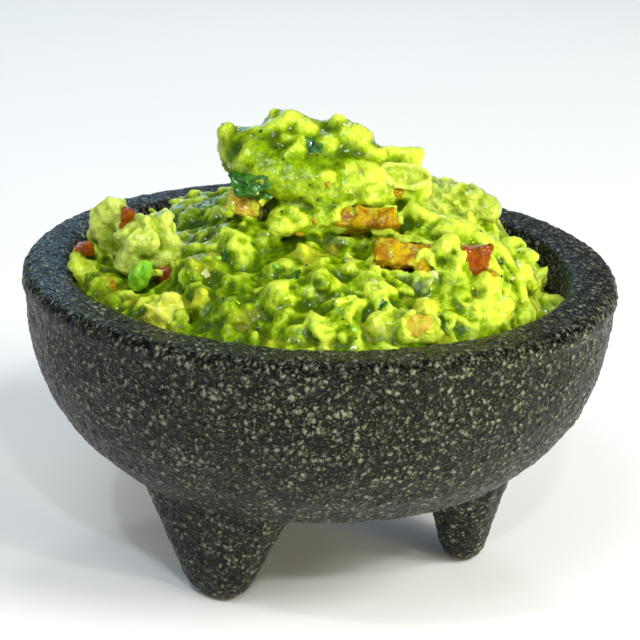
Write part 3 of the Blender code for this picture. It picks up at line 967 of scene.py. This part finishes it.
def leaf_form(rng, tree, place, length, width, turn, hug):
    """A lobed scrap of leaf as points and faces of a thin closed sheet. It lies on the heap, or
    where hug is 0 it stands free and faces the front."""
    found, normal = on_surface(tree, place)
    if not hug:
        found = HEAP @ (Vector(place) * MM)
        normal = HEAP.to_3x3() @ Vector(FREE_LEAF_FACES).normalized()
    across = Matrix.Rotation(math.radians(turn), 3, normal) @ normal.orthogonal().normalized()
    along = normal.cross(across)
    rings, sectors = 5, 28
    phase = rng.uniform(0, math.tau)
    top, bottom = [], []
    for i in range(rings + 1):
        for j in range(sectors):
            angle = math.tau * j / sectors
            lobes = 1 + 0.20 * math.sin(3 * angle + phase) + 0.12 * math.sin(7 * angle + 2 * phase)
            share = i / rings * lobes / 2 * MM
            flat = across * math.cos(angle) * width * share + along * math.sin(angle) * length * share
            near, up, _, _ = tree.find_nearest(found + flat)
            lift = 0.35 + 0.5 * (i / rings) ** 2 * max(0, math.sin(2 * angle + phase))
            if not hug:
                near, up = found + flat, normal
                lift = 0.9 * math.sin(3.1 * i / rings + 2 * angle)
            spot = near.lerp(found + flat, 1 - hug) + up * lift * MM
            top.append(spot)
            bottom.append(spot - up * 0.25 * MM)
    points = np.array([p[:] for p in top + bottom])
    half = len(top)
    faces = []
    for i in range(rings):
        for j in range(sectors):
            k = (j + 1) % sectors
            a, b = i * sectors + j, (i + 1) * sectors + j
            c, d = (i + 1) * sectors + k, i * sectors + k
            faces += [(a, b, c), (a, c, d)]
            faces += [(half + a, half + c, half + b), (half + a, half + d, half + c)]
    for j in range(sectors):
        k = (j + 1) % sectors
        a, b = rings * sectors + j, rings * sectors + k
        faces += [(a, half + a, half + b), (a, half + b, b)]
    return points, np.array(faces)


def build_leaves(rng, tree, look):
    """Chopped coriander leaves."""
    mesh = joined("herb_leaves", (leaf_form(rng, tree, *leaf) for leaf in LEAVES))
    link("herb_leaves", mesh, look, "green_pepper")


def build_small_pieces(heap, looks):
    """Leaves, cracked pepper, and bits of onion, tomato and green pepper."""
    rng = np.random.default_rng(SEED + 1)
    tree = bvhtree.BVHTree.FromObject(heap, bpy.context.evaluated_depsgraph_get())
    build_leaves(rng, tree, looks["leaf"])
    # name, listed and random places, smallest and largest, sink, flatness, cuts, slot
    kinds = [
        ("pepper_specks", SPECKS, 60, 0.5, 1.2, 0.0, 0.7, 3, "bowl"),
        ("onion_bits", ONION_BITS, 24, 3.0, 5.5, 0.75, 0.5, 6, "avocado"),
        ("tomato_bits", TOMATO_BITS, 14, 2.8, 6.0, 0.75, 0.6, 6, "tomato"),
        ("green_bits", [], 24, 1.5, 3.0, 0.3, 0.5, 4, "green_pepper"),
    ]
    for name, places, count, smallest, largest, sink, flatness, cuts, slot in kinds:
        everywhere = places + random_places(rng, count)
        forms = bits(rng, tree, everywhere, smallest, largest, sink, flatness, cuts)
        link(name, joined(name, forms), looks[name], slot)


# ---------------------------------------------------------------- stage

def add_area_light(name, place, size, power, colour, shows_in_gloss):
    """A soft box at place, in the heap's frame, that shines at the bowl."""
    data = bpy.data.lights.new(name, "AREA")
    data.shape = "DISK"
    data.size = size
    data.energy = power
    data.color = colour
    light = bpy.data.objects.new(name, data)
    bpy.context.scene.collection.objects.link(light)
    light.location = HEAP @ Vector(place)
    direction = HEAP.translation - light.location
    light.rotation_euler = direction.to_track_quat("-Z", "Y").to_euler()
    light.visible_glossy = shows_in_gloss


def build_floor():
    """A plain pale floor."""
    bm = bmesh.new()
    bmesh.ops.create_grid(bm, x_segments=1, y_segments=1, size=6)
    mesh = bpy.data.meshes.new("floor")
    bm.to_mesh(mesh)
    bm.free()
    mesh.materials.append(floor_look())
    floor = bpy.data.objects.new("floor", mesh)
    bpy.context.scene.collection.objects.link(floor)


def build_lights():
    """Broad soft light all round, with small lights that give the wet surfaces their glints."""
    add_area_light("key", (1.4, -0.8, 1.35), 0.8, 29, (1, 0.99, 0.95), False)
    add_area_light("sheen", (-0.4, -1.0, 1.5), 0.7, 7, (0.80, 0.91, 1), True)
    add_area_light("left_fill", (-1.6, 0.2, 0.5), 0.8, 1.3, (0.4, 0.7, 1), True)
    add_area_light("back_fill", (-0.5, 1.9, 0.5), 0.9, 4, (0.4, 0.7, 1), True)
    add_area_light("right_bounce", (0.9, -0.7, -0.06), 0.4, 14, (1, 0.86, 0.30), True)
    add_area_light("glint_left", (-0.35, -0.5, 0.8), 0.05, 1.3, (1, 1, 1), True)
    add_area_light("glint_front", (0.1, -0.9, 0.7), 0.05, 1.8, (1, 1, 1), True)
    add_area_light("glint_right", (0.45, -0.7, 0.6), 0.05, 1.4, (1, 1, 0.97), True)
    add_area_light("glint_back", (0.1, 0.9, 0.7), 0.15, 1.5, (0.9, 0.96, 1), True)

    world = bpy.data.worlds.new("studio")
    bpy.context.scene.world = world
    world.use_nodes = True
    tree = world.node_tree
    background = tree.nodes["Background"]
    background.inputs["Color"].default_value = (1, 1, 1, 1)
    path = tree.nodes.new("ShaderNodeLightPath")
    strength = tree.nodes.new("ShaderNodeMapRange")
    strength.inputs["To Min"].default_value = WORLD_LIGHT
    strength.inputs["To Max"].default_value = WORLD_IN_GLOSS
    tree.links.new(path.outputs["Is Glossy Ray"], strength.inputs["Value"])
    tree.links.new(strength.outputs["Result"], background.inputs["Strength"])
    bpy.context.scene.view_settings.view_transform = "Standard"


def add_camera():
    """The camera, at the photograph's angle."""
    data = bpy.data.cameras.new("camera")
    data.lens = CAMERA_LENS
    data.sensor_width = 36
    data.clip_start = 0.01
    camera = bpy.data.objects.new("camera", data)
    bpy.context.scene.collection.objects.link(camera)
    offset = Vector((0, -math.cos(CAMERA_ELEVATION), math.sin(CAMERA_ELEVATION))) * CAMERA_DISTANCE
    camera.location = HEAP @ offset
    aim = HEAP @ Vector((CAMERA_AIM_RIGHT, 0, -CAMERA_AIM_DROP))
    look = (aim - camera.location).to_track_quat("-Z", "Y").to_matrix()
    camera.rotation_euler = (look @ Matrix.Rotation(CAMERA_ROLL, 3, "Z")).to_euler()
    bpy.context.scene.camera = camera


# ---------------------------------------------------------------- all together

def main():
    """Camera, floor, lights, and every piece of the bowl and the food."""
    add_camera()
    build_floor()
    build_lights()
    build_bowl(stone_look())
    mash = avocado_look("avocado_mash_wet", (0.070, 0.14, 0.0005), (0.21, 0.34, 0.001),
                        (0.56, 0.72, 0.06), (0.55, 0.52, 0.03))
    heap = build_heap(mash)
    flesh = avocado_look("avocado_chunk_wet", (0.10, 0.17, 0.004), (0.29, 0.40, 0.02),
                         (0.58, 0.70, 0.13), (0.58, 0.58, 0.04))
    # crumbs on it, then paleness, browning and yellowness
    avocado = {"avocado_1": (4, (0.8, 0, 0)), "avocado_2": (60, (0.8, 0, 0)),
               "avocado_3": (20, (0.75, 0, 0.45)), "avocado_4": (40, (0.7, 0, 0))}
    for name, (crumbs, tint) in avocado.items():
        build_avocado(name, flesh, crumbs, tint)
    build_slice(flesh)
    red = tomato_look("tomato_red", (0.19, 0.030, 0.0005), (0.30, 0.085, 0.001), -0.04)
    amber = tomato_look("tomato_amber", (0.25, 0.095, 0.0005), (0.44, 0.31, 0.004), 0.06)
    pale = tomato_look("tomato_pale", (0.40, 0.24, 0.01), (0.50, 0.46, 0.06), 0.10)
    # look, crumbs on it
    tomatoes = {1: (red, 4), 2: (amber, 26), 3: (amber, 20), 4: (red, 3), 5: (red, 4), 6: (pale, 14),
                7: (pale, 14), 8: (red, 2)}
    for number, (look, crumbs) in tomatoes.items():
        build_tomato(number, look, crumbs)
    pepper = leafy_look("pepper_skin", (0.14, 0.44, 0.006), (0.34, 0.70, 0.035))
    small_looks = {
        "leaf": leafy_look("herb_leaf", (0.006, 0.055, 0.002), (0.045, 0.20, 0.012)),
        "pepper_specks": speck_look(),
        "onion_bits": onion_look(),
        "tomato_bits": amber,
        "green_bits": pepper,
    }
    build_small_pieces(heap, small_looks)
    build_pepper(pepper)


main()
